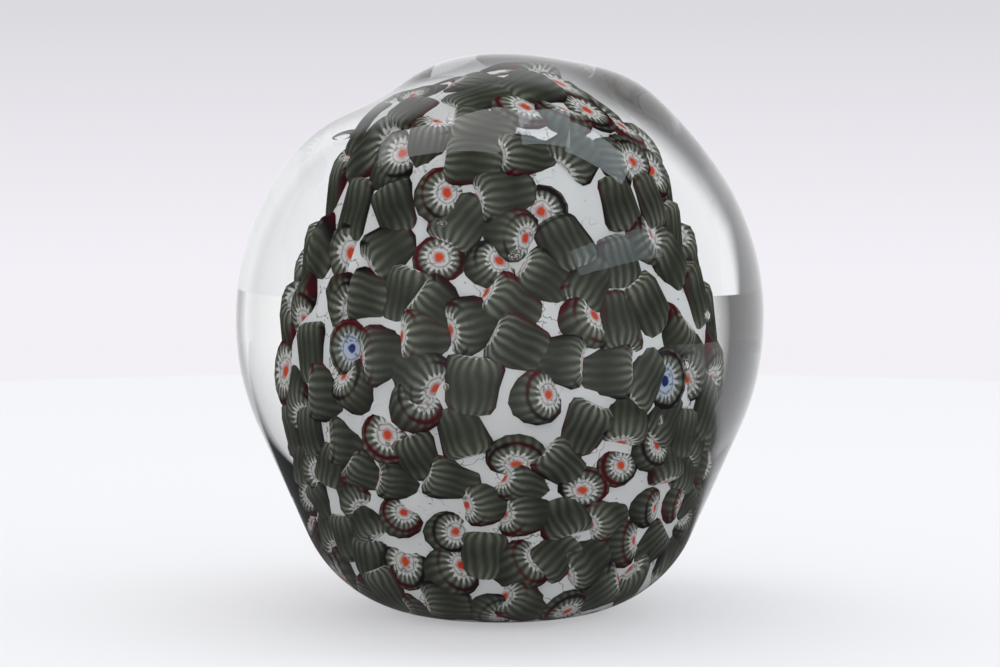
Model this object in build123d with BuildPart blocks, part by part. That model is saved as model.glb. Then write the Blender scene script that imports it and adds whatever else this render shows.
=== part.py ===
"""Close-packed millefiori paperweight: a clear domed casing round a white core set with slices of patterned cane.

Millimetres. The origin is the middle of the base, +Z is up, and the face side looks along -Y.
"""

from build123d import *
from collections import Counter
from itertools import combinations
import math
import os
import random

# Clear casing: a ball that tapers through a round heel to a small ground flat.
DOME_RADIUS = 40.0
HEIGHT = 84.5
CASING_TAPER = 24.0
CASING_HEEL = 20.0
DOME_HEIGHT = HEIGHT - DOME_RADIUS

# White core: an egg, narrow end up, left clear of the base.
CORE_TOP = 71.0
CORE_TIP_RADIUS = 17.0
CORE_FLARE = 17.0
CORE_WAIST_HEIGHT = 41.0
CORE_WAIST_ROUND = 25.0
CORE_FOOT_RADIUS = 16.5
CORE_HEEL = 6.0
CORE_BOTTOM = 3.0
CORE_HEIGHT = CORE_TOP - CORE_TIP_RADIUS

# Cane slices, called murrine: concentric layers of one pulled cane, cut short.
CANE_RADIUS = 3.4
CANE_LENGTH = 6.4
JACKET_THICKNESS = 0.45
STAR_RADIUS = 1.7
CENTRE_RADIUS = 0.6
SIZE_SPREAD = 0.1
SINK = 1.8
PRESSING_REACH = 4.4
WHITE_FILM = 0.25
SLIVER = 0.012
ROWS = 12
LAYER_NAMES = ("jackets", "bodies", "stars", "centres")

# The slices away from the face lie as they fell.
SPACING = 4.4
SCATTER_TRIES = 6000
FALLEN_STANDS = (0, 0, 10, 20, 40, 60, 80)
SEED = 7

# The face is set slice by slice, as it reads through the glass: across, up from the dome's
# centre, the way the slice points (degrees from upright, clockwise), and how far it stands up.
GLASS_INDEX = 1.5
FACE_TILT = 5.5
FACE_SLICES = [
    (-0.5, 37.5, 90, 75), (-2, 32.5, 100, 0), (11, 34, 0, 80), (9.5, 29, 30, 60),
    (19, 28, 40, 60), (-13, 30, 90, 0), (-10.5, 25.5, 10, 35), (-20, 27.5, 20, 0),
    (-4, 23, 125, 15), (4, 24, 110, 0), (11, 24, 60, 10), (-24.5, 20, 30, 20),
    (-21.5, 15.5, 25, 0), (-15.5, 16, 155, 10), (-9.5, 17.5, 0, 80), (0.5, 18, 95, 10),
    (6.5, 15.5, 270, 45), (0.5, 12.5, 160, 70), (-2, 7, 0, 75), (-9, 8, 300, 60),
    (-16.5, 9.5, 80, 0), (-14, 3.5, 20, 20), (-9.5, 1.5, 130, 0), (-11.5, -3, 100, 0),
    (-4, -1, 85, 0), (3, -4, 120, 15), (12, -1, 0, 75), (16, -8, 90, 60),
    (4.5, -12, 0, 75), (9.5, 10.5, 180, 20), (6.5, 5.5, 130, 10), (17.5, 17, 20, 0),
    (17.5, 8, 10, 0), (21.5, 2, 140, 5), (26, -3, 0, 60), (25, -9, 270, 20),
    (29, 3.5, 0, 0), (25.5, 13, 60, 20), (-29, 3, 190, 40), (-23.5, 3, 140, 60),
    (-23, -4.5, 0, 90), (-17.5, -5.5, 90, 0), (-28, -5, 165, 0), (-30, -12, 200, 50),
    (-21, -11, 290, 20), (-28, -17, 150, 0), (-12, -8.5, 150, 60), (-13, -13.5, 0, 60),
    (-4, -10, 0, 10), (-17, -18.5, 320, 60), (-23, -19, 85, 0), (-5.5, -17, 170, 25),
    (2.5, -20, 230, 45), (9, -21.5, 130, 10), (12.5, -16, 0, 25), (18.5, -15, 210, 20),
    (24, -15.5, 60, 10), (24.5, -22, 200, 30), (30, -14, 0, 20), (17, -22, 290, 60),
    (15.5, -29.5, 80, 0), (21, -28, 0, 90), (22.5, -33.5, 50, 45), (9.5, -29.5, 170, 30),
    (4, -28.5, 90, 0), (-1.5, -27, 80, 0), (-7.5, -23.5, 100, 10), (-12, -20.5, 150, 0),
    (-15.5, -30, 0, 60), (-8.5, -31.5, 0, 80), (-8, -37.5, 20, 70), (-2.5, -34.5, 0, 0),
    (2.5, -36.5, 10, 65), (-22, -26.5, 140, 60), (-19.5, -35, 0, 20), (-25.5, -32, 250, 40),
    (-15, -24, 90, 0), (-29.5, -22, 160, 10), (13, -35.5, 60, 10), (8, -35, 40, 20),
]  # fmt: skip
BLUE_SLICES = (FACE_SLICES.index((-23, -4.5, 0, 90)), FACE_SLICES.index((25, -9, 270, 20)))

# Air bubbles in the clear glass: out from the axis, up, round from the face, radius.
BUBBLES = [
    (27.5, 55.0, 4, 0.6), (28.0, 59.5, -16, 0.5), (28.5, 40.0, 55, 0.6), (29.5, 46.0, 62, 0.7),
    (27.5, 33.0, 48, 0.5), (26.5, 38.0, -15, 0.4), (23.5, 10.5, -38, 0.5), (24.5, 15.0, -45, 0.5),
    (26.0, 21.0, 140, 0.6), (29.0, 50.0, 200, 0.7), (27.5, 30.0, 260, 0.5),
]  # fmt: skip


def casing_blank():
    """The outside of the paperweight, before anything is set into it."""
    taper = math.radians(CASING_TAPER)
    side = (DOME_RADIUS * math.cos(taper), DOME_HEIGHT - DOME_RADIUS * math.sin(taper))
    corner = (side[0] - side[1] * math.tan(taper), 0)
    with BuildPart() as blank:
        with BuildSketch(Plane.XZ) as profile:
            with BuildLine():
                dome = TangentArc((0, HEIGHT), side, tangent=(1, 0))
                Polyline(dome @ 1, corner, (0, 0), dome @ 0)
            make_face()
            fillet(profile.vertices().group_by(Axis.Y)[0].sort_by(Axis.X)[-1], radius=CASING_HEEL)
        revolve(axis=Axis.Z)
    return blank.part


def core_blank():
    """The white gather shaped on the marver, before the slices are pressed into it."""
    flare = math.radians(CORE_FLARE)
    side = (CORE_TIP_RADIUS * math.cos(flare), CORE_HEIGHT + CORE_TIP_RADIUS * math.sin(flare))
    waist = (side[0] + (side[1] - CORE_WAIST_HEIGHT) * math.tan(flare), CORE_WAIST_HEIGHT)
    with BuildPart() as blank:
        with BuildSketch(Plane.XZ) as profile:
            with BuildLine():
                tip = TangentArc((0, CORE_TOP), side, tangent=(1, 0))
                Polyline(tip @ 1, waist, (CORE_FOOT_RADIUS, CORE_BOTTOM), (0, CORE_BOTTOM), tip @ 0)
            make_face()
            fillet(profile.vertices().sort_by(Axis.X)[-1], radius=CORE_WAIST_ROUND)
            fillet(profile.vertices().group_by(Axis.Y)[0].sort_by(Axis.X)[-1], radius=CORE_HEEL)
        revolve(axis=Axis.Z)
    return blank.part


def refracted(ray, normal, ratio):
    """The direction of a ray once it has entered the glass."""
    facing = -ray.dot(normal)
    return ray * ratio + normal * (ratio * facing - math.sqrt(1 - ratio**2 * (1 - facing**2)))


def slice_place(spot, outward, pointing, stand):
    """The plane through the middle of a slice, square to the slice's own axis."""
    lying = (pointing - outward * pointing.dot(outward)).normalized()
    stand = math.radians(stand)
    axis = lying * math.cos(stand) + outward * math.sin(stand)
    return Plane(spot - outward * SINK, z_dir=axis)


def face_places(blank, core):
    """Where the hand-set slices of the face lie on the core, seen through the dome."""
    ray = Vector(0, 1, 0).rotate(Axis.X, -FACE_TILT)
    upright = Vector(0, 0, 1).rotate(Axis.X, -FACE_TILT)
    middle = Vector(0, 0, DOME_HEIGHT)
    places = []
    for across, up, turn, stand in FACE_SLICES:
        offset = Vector(across, 0, 0) + upright * up
        hits = []
        while not hits:
            sight = Axis(middle + offset - ray * HEIGHT, ray)
            entry, normal = blank.find_intersection_points(sight)[0]
            bent = refracted(ray, normal, 1 / GLASS_INDEX)
            hits = core.find_intersection_points(Axis(entry, bent))
            offset = offset * 0.98
        spot, outward = hits[0]
        turn = math.radians(turn)
        pointing = upright * math.cos(turn) + Vector(math.sin(turn), 0, 0)
        places.append(slice_place(spot, outward, pointing, stand))
    return places


def fallen_places(core, taken, chance):
    """Places for the slices away from the face, wherever the ones already set leave room."""
    places = []
    spots = [tuple(place.origin) for place in taken]
    for _ in range(SCATTER_TRIES):
        middle = Vector(0, 0, chance.uniform(CORE_BOTTOM, CORE_HEIGHT))
        across = Vector(chance.gauss(), chance.gauss(), chance.gauss()).normalized()
        spot, outward = core.find_intersection_points(Axis(middle, across))[-1]
        centre = tuple(spot - outward * SINK)
        if min(math.dist(centre, other) for other in spots) < SPACING:
            continue
        pointing = Vector(chance.gauss(), chance.gauss(), chance.gauss())
        places.append(slice_place(spot, outward, pointing, chance.choice(FALLEN_STANDS)))
        spots.append(centre)
    return places


def slice_form(place, places, radius, length):
    """One whole slice, flattened where it is pressed against its neighbours."""
    with BuildPart(place) as form:
        Cylinder(radius, length)
        for other in places:
            gap = other.origin - place.origin
            if 0 < gap.length < 2 * PRESSING_REACH:
                contact = place.origin + gap.normalized() * (gap.length - WHITE_FILM) / 2
                split(bisect_by=Plane(contact, z_dir=gap), keep=Keep.BOTTOM)
    return form.part


def rod(place, radius):
    """One inner layer of the cane, drawn longer than the slices cut from it."""
    with BuildPart(place) as layer:
        Cylinder(radius, 2 * CANE_LENGTH)
    return layer.part


def slice_layers(form, rods, core):
    """The glasses of one slice, from the dark jacket to the centre, flush with the core."""
    flush = form & core
    inside = [flush] + [flush & layer for layer in rods]
    if not all(part.solids() for part in inside):
        return None
    layers = [part - layer for part, layer in zip(inside, rods)] + [inside[-1]]
    return None if any(pinched(solid) for part in layers for solid in part.solids()) else layers


def pinched(solid):
    """Whether the solid thins to a sliver whose two sides meet."""
    points, triangles = solid.tessellate(SLIVER, 0.3)
    spots = [(round(p.X, 7), round(p.Y, 7), round(p.Z, 7)) for p in points]
    sides = Counter()
    for a, b, c in triangles:
        corners = {spots[a], spots[b], spots[c]}
        if len(corners) == 3:
            sides.update(frozenset(pair) for pair in combinations(corners, 2))
    return any(uses != 2 for uses in sides.values())


def pressed_slice(place, places, core, chance):
    """A slice and its layers, tipped a little further until all its layers come out whole."""
    radius = CANE_RADIUS * chance.uniform(1 - SIZE_SPREAD, 1 + SIZE_SPREAD)
    length = CANE_LENGTH * chance.uniform(1 - SIZE_SPREAD, 1 + SIZE_SPREAD)
    layers = None
    while layers is None:
        place = place.rotated((2, 0, 37))
        rods = [rod(place, radius - JACKET_THICKNESS), rod(place, STAR_RADIUS), rod(place, CENTRE_RADIUS)]
        form = slice_form(place, places, radius, length)
        layers = slice_layers(form, rods, core)
    return form, layers


def bubble_voids():
    """The air bubbles trapped between the core and the casing."""
    with BuildPart() as voids:
        for reach, height, turn, radius in BUBBLES:
            with Locations(Vector(0, -reach, height).rotate(Axis.Z, turn)):
                Sphere(radius)
    return voids.part


def save(solids, name):
    """Write the pieces of one glass in one ring as one named part."""
    node = Compound([solid for part in solids for solid in part.solids()])
    node.label = name
    export_step(node, f"parts/{name}.step", write_pcurves=False)


def main():
    os.makedirs("parts", exist_ok=True)
    chance = random.Random(SEED)
    blank = casing_blank()
    core = core_blank()
    places = face_places(blank, core)
    places += fallen_places(core, places, chance)
    print(len(places), "slices", flush=True)

    rows = {}
    forms = []
    for number, place in enumerate(places):
        form, layers = pressed_slice(place, places, core, chance)
        forms.append(form)
        row = min(ROWS, 1 + int(ROWS * place.origin.Z / CORE_TOP))
        key = "odd" if number in BLUE_SLICES else f"row{row:02d}"
        rows.setdefault(key, []).append(layers)
    for key, slices in rows.items():
        for name, parts in zip(LAYER_NAMES, zip(*slices)):
            save(parts, f"slice_{name}_{key}")
    save([core - forms], "white_ground")
    save([blank - core - bubble_voids()], "clear_casing")


main()
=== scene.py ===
import math
import random

import bmesh
import bpy
import numpy as np
from mathutils import Matrix, Vector


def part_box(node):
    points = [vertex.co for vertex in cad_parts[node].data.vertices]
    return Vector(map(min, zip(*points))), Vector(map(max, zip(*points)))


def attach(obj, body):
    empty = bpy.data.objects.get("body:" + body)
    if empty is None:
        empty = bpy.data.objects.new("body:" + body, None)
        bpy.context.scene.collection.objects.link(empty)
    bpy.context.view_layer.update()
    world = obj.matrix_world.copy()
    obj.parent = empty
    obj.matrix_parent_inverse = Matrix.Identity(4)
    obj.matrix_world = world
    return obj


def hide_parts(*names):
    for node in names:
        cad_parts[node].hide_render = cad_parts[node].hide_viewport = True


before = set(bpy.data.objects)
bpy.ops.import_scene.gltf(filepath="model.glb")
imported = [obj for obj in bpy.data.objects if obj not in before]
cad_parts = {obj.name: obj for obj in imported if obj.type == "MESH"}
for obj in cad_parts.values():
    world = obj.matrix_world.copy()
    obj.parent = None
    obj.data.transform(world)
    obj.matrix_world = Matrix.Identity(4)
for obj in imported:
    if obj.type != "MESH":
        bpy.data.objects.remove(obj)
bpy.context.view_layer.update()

MM = 0.001

# White ground.
# An egg-shaped gather of pale opal glass, shaped on the marver, that the slices are picked up
# on. It is soft white with a few dark specks and curled cracks, and sits clear of the base.
CORE_TOP = 71 * MM
CORE_TIP = 17 * MM
CORE_FLARE = 17
CORE_WAIST = (21.75 * MM, 41 * MM)
CORE_TAPER = 7.9
CORE_FOOT = (16.5 * MM, 3 * MM)


def arc(centre, radius, start, end, step):
    """Points (out, up) along an arc, from one angle off straight up to another."""
    count = max(2, round((end - start) / step))
    turns = [math.radians(start + (end - start) * number / count) for number in range(count + 1)]
    return [(centre[0] + radius * math.sin(turn), centre[1] + radius * math.cos(turn)) for turn in turns]


def rounded(corner, radius, start, end, step):
    """Points round a corner between two straight sides that face the two angles."""
    first = Vector((math.sin(math.radians(start)), math.cos(math.radians(start))))
    second = Vector((math.sin(math.radians(end)), math.cos(math.radians(end))))
    centre = Vector(corner) - (first + second) * radius / (1 + first.dot(second))
    return arc(centre, radius, start, end, step)


def spun(outline, steps):
    """A closed form turned from an outline of (out, up) points."""
    form = bmesh.new()
    rim = [form.verts.new((out, 0, up)) for out, up in outline]
    for upper, lower in zip(rim, rim[1:]):
        form.edges.new((upper, lower))
    bmesh.ops.spin(
        form, geom=form.verts[:] + form.edges[:], axis=(0, 0, 1), cent=(0, 0, 0),
        angle=math.tau, steps=steps, use_merge=True,
    )  # fmt: skip
    bmesh.ops.remove_doubles(form, verts=form.verts, dist=1e-7)
    bmesh.ops.recalc_face_normals(form, faces=form.faces)
    return form


def finished(form, name, material, slot, *nodes):
    """The form as an object that rides on the root body and stands for its CAD nodes."""
    for face in form.faces:
        face.smooth = True
    mesh = bpy.data.meshes.new(name)
    form.to_mesh(mesh)
    form.free()
    piece = bpy.data.objects.new(name, mesh)
    bpy.context.scene.collection.objects.link(piece)
    mesh.materials.append(material)
    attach(piece, "root")
    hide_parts(*nodes)
    return piece


class Shades:
    """A material's node tree, with short ways to add the nodes it is made of."""

    def __init__(self, name):
        self.material = bpy.data.materials.new(name)
        self.material.use_nodes = True
        self.tree = self.material.node_tree
        self.shader = self.tree.nodes["Principled BSDF"]

    def node(self, kind, **settings):
        made = self.tree.nodes.new(kind)
        for key, value in settings.items():
            setattr(made, key, value)
        return made

    def link(self, value, socket):
        if isinstance(value, bpy.types.NodeSocket):
            self.tree.links.new(value, socket)
        elif value is not None:
            socket.default_value = value

    def sum(self, operation, first, second=None, third=None):
        made = self.node("ShaderNodeMath", operation=operation)
        for value, socket in zip((first, second, third), made.inputs):
            self.link(value, socket)
        return made.outputs[0]

    def vector(self, operation, first, second=None):
        made = self.node("ShaderNodeVectorMath", operation=operation)
        for value, socket in zip((first, second), made.inputs):
            self.link(value, socket)
        return made.outputs["Value" if operation in ("DOT_PRODUCT", "LENGTH") else "Vector"]

    def step(self, value, low, high, start=0.0, end=1.0):
        made = self.node("ShaderNodeMapRange", interpolation_type="SMOOTHSTEP")
        for given, socket in zip((value, low, high, start, end), made.inputs):
            self.link(given, socket)
        return made.outputs[0]

    def mix(self, share, first, second, blend="MIX"):
        made = self.node("ShaderNodeMix", data_type="RGBA", blend_type=blend)
        self.link(share, made.inputs[0])
        self.link(first, made.inputs[6])
        self.link(second, made.inputs[7])
        return made.outputs[2]

    def noise(self, place, scale, detail=2.0, rough=0.5):
        made = self.node("ShaderNodeTexNoise")
        self.link(place, made.inputs["Vector"])
        made.inputs["Scale"].default_value = scale
        made.inputs["Detail"].default_value = detail
        made.inputs["Roughness"].default_value = rough
        return made.outputs["Fac"]

    def set(self, **values):
        for key, value in values.items():
            self.link(value, self.shader.inputs[key.replace("_", " ")])


opal = Shades("opal_white")
opal_place = opal.node("ShaderNodeTexCoord").outputs["Object"]
opal_cloud = opal.noise(opal_place, 110, 3)
opal_speck = opal.step(opal.noise(opal_place, 1100, 1), 0.72, 0.78)
opal_colour = opal.mix(opal_cloud, (0.68, 0.69, 0.69, 1), (0.88, 0.89, 0.89, 1))
opal_colour = opal.mix(opal.sum("MULTIPLY", opal_speck, 0.6), opal_colour, (0.14, 0.13, 0.14, 1))
opal_vein = opal.sum("ABSOLUTE", opal.sum("SUBTRACT", opal.noise(opal_place, 300, 3), 0.5))
opal_vein = opal.step(opal_vein, 0.016, 0.003)
opal_vein = opal.sum("MULTIPLY", opal_vein, opal.step(opal.noise(opal_place, 75, 1), 0.50, 0.60))
opal_colour = opal.mix(opal.sum("MULTIPLY", opal_vein, 0.75), opal_colour, (0.10, 0.085, 0.085, 1))
opal.set(Base_Color=opal_colour, Roughness=0.6, Specular_IOR_Level=0.0)

ground = spun(
    arc((0, CORE_TOP - CORE_TIP), CORE_TIP, 0, 90 - CORE_FLARE, 5)
    + rounded(CORE_WAIST, 25 * MM, 90 - CORE_FLARE, 90 + CORE_TAPER, 5)
    + rounded(CORE_FOOT, 6 * MM, 90 + CORE_TAPER, 180, 10)
    + [(0, CORE_FOOT[1])],
    96,
)
finished(ground, "opal_ground", opal.material, "opal_white", "white_ground")

# Cane slices.
# One cane was pulled with a red centre, a white toothed star, an olive body and a dark aubergine
# skin, then nipped into short lengths. The hot ground picked them up lying any way round.
CANE_RADIUS = 3.65 * MM
CANE_LENGTH = 7.0 * MM
TEETH = 18
luck = random.Random(3)


def rods(node):
    """The centre line of each slice in a node: its two ends."""
    form = bmesh.new()
    form.from_mesh(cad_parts[node].data)
    bmesh.ops.remove_doubles(form, verts=form.verts, dist=1e-6)
    left = set(form.verts)
    for start in form.verts:
        if start not in left:
            continue
        left.remove(start)
        island = []
        queue = [start]
        while queue:
            vert = queue.pop()
            island.append(vert.co.copy())
            for edge in vert.link_edges:
                other = edge.other_vert(vert)
                if other in left:
                    left.remove(other)
                    queue.append(other)
        points = np.array(island)
        middle = points.mean(0)
        axis = np.linalg.svd(points - middle)[2][0]
        along = (points - middle) @ axis
        yield Vector(middle + axis * along.min()), Vector(middle + axis * along.max())
    form.free()


def outward_at(spot):
    """The way straight out of the core at a point on it."""
    root = Vector((0, 0, min(max(spot.z, CORE_FOOT[1] + 10 * MM), CORE_TOP - CORE_TIP)))
    return (spot - root).normalized()


def add_slice(row, low, high):
    """One slice, nipped from the cane with softened ends, laid along its CAD centre line."""
    middle = (low + high) / 2
    outward = outward_at(middle)
    axis = (high - low).normalized()
    if axis.dot(outward) < 0:
        axis = -axis
        low, high = high, low
    length = CANE_LENGTH * luck.uniform(0.92, 1.08)
    radius = CANE_RADIUS * luck.uniform(0.92, 1.06)
    stand = axis.dot(outward)
    if stand > 0.7:
        middle = high + axis * (0.7 * MM - length / 2)
    side = (outward - axis * stand).normalized()
    lie = Matrix.Translation(middle) @ Matrix((side.cross(axis), side, axis)).transposed().to_4x4()
    made = bmesh.ops.create_cone(
        row, cap_ends=True, segments=14, radius1=radius * 0.94, radius2=radius, depth=length,
    )  # fmt: skip
    rims = dict.fromkeys(edge for vert in made["verts"] for edge in vert.link_edges)
    rims = [edge for edge in rims if abs(edge.verts[0].co.z + edge.verts[1].co.z) > length * 0.9]
    bmesh.ops.bevel(row, geom=rims, offset=radius * 0.36, affect="EDGES", segments=2, profile=0.5)
    marks = row.verts.layers.float_vector
    verts = [vert for vert in row.verts if vert[marks["cane_outward"]].length == 0]
    spin = Matrix.Rotation(luck.uniform(0, math.tau), 3, "Z")
    kind = (1 - abs(stand), luck.random(), luck.random())
    for vert in verts:
        x, y, z = vert.co
        turned = spin @ Vector((x, y, 0)) / radius
        vert[marks["cane_place"]] = (turned.x, turned.y, 2 * z / length)
        vert[marks["cane_lean"]] = (x / radius, y / radius, 0)
        vert[marks["cane_outward"]] = outward
        vert[marks["cane_kind"]] = kind
        vert.co = lie @ Vector((x * 1.04, y, z))
        proud = (vert.co - middle).dot(outward) - 2.3 * MM
        if proud > 0:
            vert.co -= outward * proud * 0.55


def cane_shades(name, tones):
    """The cane's glasses, the same all the way along it, worked out from each slice's own axis."""
    cane = Shades(name)

    def mark(layer):
        parts = cane.node("ShaderNodeSeparateXYZ")
        value = cane.node("ShaderNodeAttribute", attribute_name=layer).outputs["Vector"]
        cane.link(value, parts.inputs[0])
        return value, parts.outputs

    x, y, z = mark("cane_place")[1]
    outward = mark("cane_outward")[0]
    height = mark("cane_lean")[1][1]
    tilt, shadiness, warmth = mark("cane_kind")[1]
    place = cane.node("ShaderNodeTexCoord").outputs["Object"]

    # How far a point is from the middle of its end, over the edge and on down the side.
    ragged = cane.sum("SUBTRACT", cane.noise(place, 1500, 2), 0.5)
    cloud = cane.noise(place, 380, 3)
    reach = cane.sum("SQRT", cane.sum("ADD", cane.sum("MULTIPLY", x, x), cane.sum("MULTIPLY", y, y)))
    from_end = cane.sum("SUBTRACT", 1.0, cane.sum("ABSOLUTE", z))
    flow = cane.sum("MULTIPLY_ADD", from_end, 0.9, reach)
    flow = cane.sum("MULTIPLY_ADD", ragged, 0.16, flow)
    wander = cane.sum("MULTIPLY", cane.noise(place, 240, 1), 1.5)
    turn = cane.sum("MULTIPLY_ADD", cane.sum("ARCTAN2", y, x), TEETH / math.tau, wander)
    tooth = cane.sum("MULTIPLY", cane.sum("PINGPONG", turn, 0.5), 2.0)

    # Olive body, darker towards the far end, with white rays that run on from the star's teeth.
    olive = cane.mix(cane.step(flow, 0.5, 1.9), (0.074, 0.080, 0.058, 1), (0.017, 0.018, 0.014, 1))
    olive = cane.mix(cane.sum("MULTIPLY", cloud, 0.55), olive, (0.095, 0.103, 0.072, 1))
    olive = cane.mix(cane.sum("MULTIPLY", shadiness, 0.35), olive, (0.020, 0.022, 0.017, 1))
    fade = cane.sum("POWER", cane.step(flow, 2.0, 0.40), 1.9)
    fade = cane.sum("MULTIPLY_ADD", fade, 0.78, cane.sum("MULTIPLY_ADD", warmth, 0.10, 0.03))
    ray = cane.sum("MULTIPLY", cane.step(tooth, 0.15, 0.95), fade)
    body = cane.mix(ray, olive, (0.29, 0.31, 0.26, 1))

    # White star: ragged teeth, thin grey rings, then the pink halo and the bright centre.
    edge = cane.sum("MULTIPLY_ADD", tooth, 0.20, 0.42)
    star = cane.step(cane.sum("SUBTRACT", cane.sum("MULTIPLY_ADD", ragged, 0.18, flow), edge), 0.09, -0.07)
    ring = cane.step(cane.sum("ABSOLUTE", cane.sum("SUBTRACT", flow, 0.37)), 0.045, 0.0)
    flaw = cane.step(cane.noise(place, 1900, 1), 0.56, 0.66)
    grey = cane.sum("MAXIMUM", cane.sum("MULTIPLY", ring, 0.65), cane.sum("MULTIPLY", flaw, 0.75))
    colour = cane.mix(star, body, cane.mix(grey, tones["star"], tones["ring"]))
    colour = cane.mix(cane.step(flow, 0.28, 0.17), colour, tones["halo"])
    colour = cane.mix(cane.step(flow, 0.18, 0.12), colour, cane.mix(cloud, tones["centre"], tones["hot"]))

    # The aubergine skin shows where it is looked through edge-on: round a standing end and down
    # the flanks, deep red where the light comes through it.
    drawn = cane.sum("SUBTRACT", reach, cane.sum("MULTIPLY", cane.sum("MULTIPLY", tilt, 0.6), height))
    drawn = cane.sum("MULTIPLY_ADD", cane.sum("SUBTRACT", cloud, 0.5), 0.25, drawn)
    end_skin = cane.sum("MULTIPLY", cane.step(drawn, 0.66, 0.80), cane.step(from_end, 0.30, 0.12))
    facing = cane.vector("DOT_PRODUCT", cane.node("ShaderNodeNewGeometry").outputs["Normal"], outward)
    side_skin = cane.sum("MULTIPLY", cane.step(facing, 0.82, 0.42), cane.step(from_end, 0.08, 0.24))
    glow = cane.step(cane.sum("MULTIPLY_ADD", warmth, 0.25, cane.noise(place, 170, 1)), 0.52, 0.80)
    aubergine = cane.mix(glow, (0.009, 0.006, 0.007, 1), (0.075, 0.004, 0.009, 1))
    colour = cane.mix(cane.sum("MAXIMUM", end_skin, side_skin), colour, aubergine)
    cane.set(Base_Color=colour, Roughness=0.5, Specular_IOR_Level=0.0)
    return cane.material


red_cane = cane_shades("cane_glass", {
    "centre": (0.50, 0.02, 0.015, 1), "hot": (0.70, 0.12, 0.03, 1), "halo": (0.55, 0.30, 0.30, 1),
    "star": (0.66, 0.66, 0.64, 1), "ring": (0.12, 0.12, 0.12, 1),
})  # fmt: skip
blue_cane = cane_shades("blue_cane_glass", {
    "centre": (0.010, 0.018, 0.10, 1), "hot": (0.02, 0.04, 0.16, 1), "halo": (0.40, 0.52, 0.72, 1),
    "star": (0.50, 0.54, 0.60, 1), "ring": (0.03, 0.05, 0.15, 1),
})  # fmt: skip

for key in ["row%02d" % number for number in range(1, 13)] + ["odd"]:
    row = bmesh.new()
    for layer in ("cane_place", "cane_lean", "cane_outward", "cane_kind"):
        row.verts.layers.float_vector.new(layer)
    for low, high in rods("slice_centres_" + key):
        add_slice(row, low, high)
    nodes = ["slice_%s_%s" % (layer, key) for layer in ("jackets", "bodies", "stars", "centres")]
    finished(row, "murrine_" + key, blue_cane if key == "odd" else red_cane, "olive_glass", *nodes)

# Clear casing.
# The last and biggest gather, blocked to a ball while soft and left a little lopsided, fire-polished
# all over and ground flat underneath. A few air bubbles were trapped between it and the slices.
casing_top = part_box("clear_casing")[1]
DOME = casing_top.x
TAPER = 24

# Each bubble: how far out, how high (mm), degrees round from the face, radius (mm), how drawn out.
BUBBLES = [
    (27.5, 55.0, 4, 0.9, 0.7), (28.0, 59.5, -16, 0.8, 0.6), (28.5, 40.0, 55, 0.7, 1.1),
    (29.5, 46.0, 62, 0.7, 1.2), (27.5, 33.0, 48, 0.5, 1.5), (26.5, 38.0, -15, 0.4, 1.2),
    (23.5, 10.5, -38, 0.5, 1.4), (24.5, 15.0, -45, 0.5, 1.0), (26.0, 21.0, 140, 0.6, 1.2),
    (29.0, 50.0, 200, 0.7, 0.9), (27.5, 30.0, 260, 0.5, 1.3),
]  # fmt: skip
clear = Shades("clear_glass")
clear.set(Base_Color=(0.985, 0.99, 0.985, 1), Roughness=0.0, IOR=1.5, Transmission_Weight=1.0)

side_out = DOME * math.cos(math.radians(TAPER))
side_up = casing_top.z - DOME - DOME * math.sin(math.radians(TAPER))
casing = spun(
    arc((0, casing_top.z - DOME), DOME, 0, 90 + TAPER, 2)
    + rounded((side_out - side_up * math.tan(math.radians(TAPER)), 0), 20 * MM, 90 + TAPER, 180, 3)
    + [(0, 0)],
    160,
)
for vert in casing.verts:
    spot = vert.co - Vector((0, 0, casing_top.z - DOME))
    from_top = math.degrees(math.atan2(math.hypot(spot.x, spot.y), spot.z))
    shoulder = math.exp(-(((from_top - 29) / 12) ** 2))
    lean = spot.x / max(math.hypot(spot.x, spot.y), 1 * MM)
    lopsided = shoulder * lean * (1.2 if lean > 0 else 2.0) * MM
    ripple = 0.06 * MM * (math.sin(70 * vert.co.z + 9) * math.sin(55 * vert.co.x + 40 * vert.co.y) - 1)
    vert.co += spot.normalized() * (lopsided + ripple * min(1, vert.co.z / (5 * MM)))

for reach, up, turn, size, stretch in BUBBLES:
    made = bmesh.ops.create_icosphere(casing, subdivisions=3, radius=size * MM)
    lie = Matrix.Rotation(math.radians(turn), 4, "Z") @ Matrix.Translation((0, -reach * MM, up * MM))
    bmesh.ops.transform(casing, matrix=lie @ Matrix.Diagonal((1, 0.6, stretch, 1)), verts=made["verts"])
    skin = {face for vert in made["verts"] for face in vert.link_faces}
    bmesh.ops.reverse_faces(casing, faces=list(skin))
finished(casing, "glass_casing", clear.material, "clear_glass", "clear_casing")

# Floor.
# A round white table top with a faint painted glow, an emission of its own that lifts its shadows. Looked
# at through the casing or mirrored in it, the table carries painted shade: a painted shadow of the
# paperweight round the base, and dark at the near side and to one hand, as under a studio's black flags.
floor = bmesh.new()
bmesh.ops.create_circle(floor, cap_ends=True, segments=128, radius=0.34)
for vert in floor.verts:
    vert.co.z = -0.0001
floor_mesh = bpy.data.meshes.new("table")
floor.to_mesh(floor_mesh)
floor.free()
table = bpy.data.objects.new("table", floor_mesh)
bpy.context.scene.collection.objects.link(table)

paper = Shades("table_white")
paper_place = paper.node("ShaderNodeSeparateXYZ")
paper.link(paper.node("ShaderNodeTexCoord").outputs["Object"], paper_place.inputs[0])
across, away = paper_place.outputs[:2]
path = paper.node("ShaderNodeLightPath").outputs
direct = paper.sum("MINIMUM", paper.sum("ADD", path["Is Camera Ray"], path["Diffuse Depth"]), 1.0)
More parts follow.
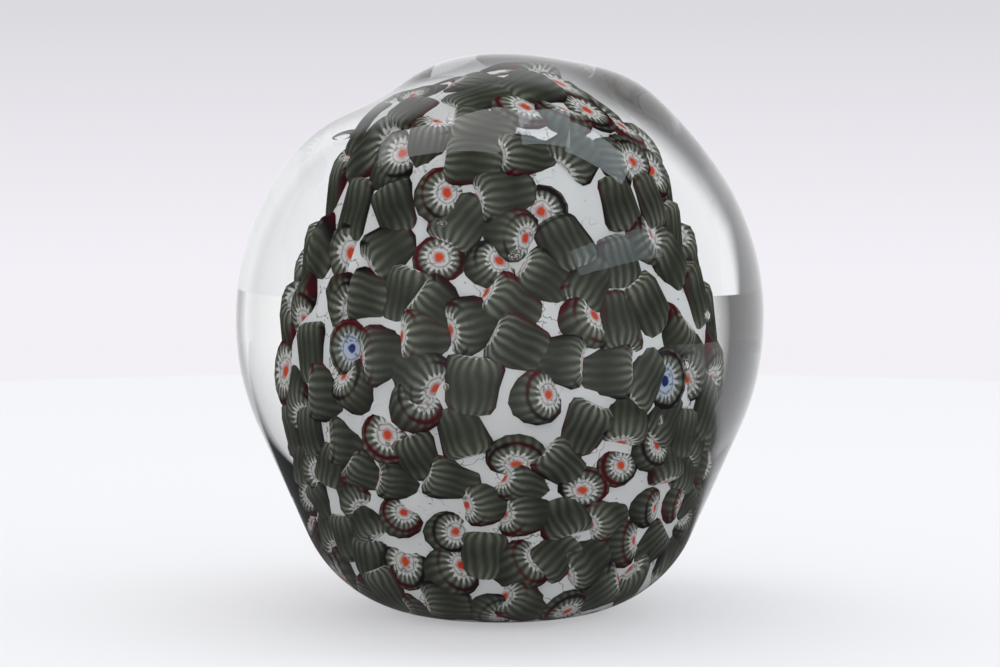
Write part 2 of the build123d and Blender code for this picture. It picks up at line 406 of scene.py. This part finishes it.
# Painted shadow: darker near the base, and to the left beyond it, where the table is seen through or
# mirrored in the glass.
near = paper.sum("SUBTRACT", paper.sum("MULTIPLY_ADD", across, 0.45, away), 0.066)
far = paper.sum("SUBTRACT", paper.sum("MULTIPLY_ADD", across, 0.85, away), 0.030)
shade = paper.step(paper.sum("MINIMUM", near, far), -0.016, 0.016)
# Towards the front, the painted shade eases to part lit.
shade = paper.sum("MAXIMUM", shade, paper.step(away, -0.06, -0.10, 0.0, 0.4))
shade = paper.sum("MULTIPLY_ADD", paper.sum("MAXIMUM", shade, direct), 0.88, 0.12)
# Painted glow: the table's emission, which follows its painted shade.
paper.set(
    Base_Color=paper.mix(shade, (0.0, 0.0, 0.0, 1), (0.50, 0.50, 0.51, 1)),
    Roughness=0.6,
    Specular_IOR_Level=0.0,
    Emission_Color=(1.0, 1.0, 1.02, 1),
    Emission_Strength=paper.sum("MULTIPLY", shade, 0.34),
)
floor_mesh.materials.append(paper.material)

# Light.
# A pale backdrop, a bright studio that lights the glass, and black flags at the sides that give the
# casing its dark rim. Soft lamps overhead and at the right are mirrored as faint patches.
world = bpy.data.worlds.new("studio")
bpy.context.scene.world = world
world.use_nodes = True
sky = world.node_tree


def sky_node(kind, *values, **settings):
    made = sky.nodes.new(kind)
    for key, value in settings.items():
        setattr(made, key, value)
    for value, socket in zip(values, made.inputs):
        if isinstance(value, bpy.types.NodeSocket):
            sky.links.new(value, socket)
        else:
            socket.default_value = value
    return made


def sky_tones(height, *tones):
    """A tone for each height of the direction looked in, from straight down to straight up."""
    made = sky_node("ShaderNodeValToRGB", height)
    made.color_ramp.elements[0].position = tones[0][0]
    made.color_ramp.elements[0].color = (*tones[0][1], 1)
    made.color_ramp.elements[1].position = tones[-1][0]
    made.color_ramp.elements[1].color = (*tones[-1][1], 1)
    for position, tone in tones[1:-1]:
        made.color_ramp.elements.new(position).color = (*tone, 1)
    return made.outputs[0]


# Camera rays see the backdrop, light that reaches the canes comes from the whole studio, and what
# is seen through or mirrored in the casing is the studio with its flags.
direction = sky_node("ShaderNodeSeparateXYZ", sky_node("ShaderNodeTexCoord").outputs["Generated"])
height = sky_node("ShaderNodeMapRange", direction.outputs[2], -1.0, 1.0).outputs[0]
backdrop = sky_tones(
    height,
    (0.44, (0.90, 0.88, 0.91)),
    (0.462, (0.90, 0.87, 0.93)),
    (0.482, (0.80, 0.78, 0.83)),
    (0.498, (0.70, 0.70, 0.73)),
)
studio = sky_tones(
    height,
    (0.3, (1.0, 1.0, 1.0)),
    (0.52, (1.0, 1.0, 1.02)),
    (0.75, (0.75, 0.75, 0.77)),
    (1.0, (1.1, 1.1, 1.1)),
)
behind = sky_node(
    "ShaderNodeMath", direction.outputs[0], 0.25, direction.outputs[1], operation="MULTIPLY_ADD"
).outputs[0]  # fmt: skip
dim = sky_node("ShaderNodeMapRange", behind, 0.50, 0.66, 0.07, 1.0).outputs[0]
ahead = sky_node("ShaderNodeMapRange", direction.outputs[1], -0.3, -0.6, 0.0, 0.3).outputs[0]
dim = sky_node("ShaderNodeMath", dim, ahead, operation="MAXIMUM").outputs[0]
dimmed = sky_node("ShaderNodeVectorMath", studio, operation="SCALE")
sky.links.new(dim, dimmed.inputs["Scale"])
path = sky_node("ShaderNodeLightPath").outputs
lit = sky_node("ShaderNodeMix", data_type="RGBA")
seen = sky_node("ShaderNodeMix", data_type="RGBA")
for start, end in (
    (path["Diffuse Depth"], lit.inputs[0]), (dimmed.outputs[0], lit.inputs[6]), (studio, lit.inputs[7]),
    (path["Is Camera Ray"], seen.inputs[0]), (lit.outputs[2], seen.inputs[6]), (backdrop, seen.inputs[7]),
    (seen.outputs[2], sky.nodes["Background"].inputs[0]),
):  # fmt: skip
    sky.links.new(start, end)


def softbox(name, spot, width, height, power, tint=(1, 1, 1)):
    """A soft white light, facing the paperweight."""
    light = bpy.data.lights.new(name, "AREA")
    light.shape = "RECTANGLE"
    light.size = width
    light.size_y = height
    light.energy = power
    light.color = tint
    lamp = bpy.data.objects.new(name, light)
    bpy.context.scene.collection.objects.link(lamp)
    lamp.location = spot
    lamp.rotation_euler = (Vector((0, 0, 0.04)) - Vector(spot)).to_track_quat("-Z", "Y").to_euler()


softbox("overhead", (-0.20, 0.10, 0.80), 0.34, 0.60, 1.3)
softbox("overhead_left", (0.17, 0.04, 0.80), 0.24, 0.22, 0.4, (0.80, 0.92, 1.0))
softbox("overhead_right", (0.42, 0.02, 0.74), 0.20, 0.30, 0.5, (0.80, 0.92, 1.0))
softbox("window", (0.62, -0.40, 0.44), 0.62, 0.16, 0.5, (0.75, 0.90, 1.0))

# Camera.
# Level with the middle of the dome and looking a little down on it.
camera_data = bpy.data.cameras.new("camera")
camera = bpy.data.objects.new("camera", camera_data)
bpy.context.scene.collection.objects.link(camera)
bpy.context.scene.camera = camera
CAMERA_DISTANCE = 0.55
CAMERA_RISE = math.radians(5.5)
aim = Vector((0, 0, 0.0421))
camera.location = aim + Vector((0, -math.cos(CAMERA_RISE), math.sin(CAMERA_RISE))) * CAMERA_DISTANCE
camera.rotation_euler = (aim - camera.location).to_track_quat("-Z", "Y").to_euler()
camera_data.sensor_width = 36
camera_data.lens = 36 * CAMERA_DISTANCE / 0.1515
bpy.context.scene.view_settings.view_transform = "Standard"
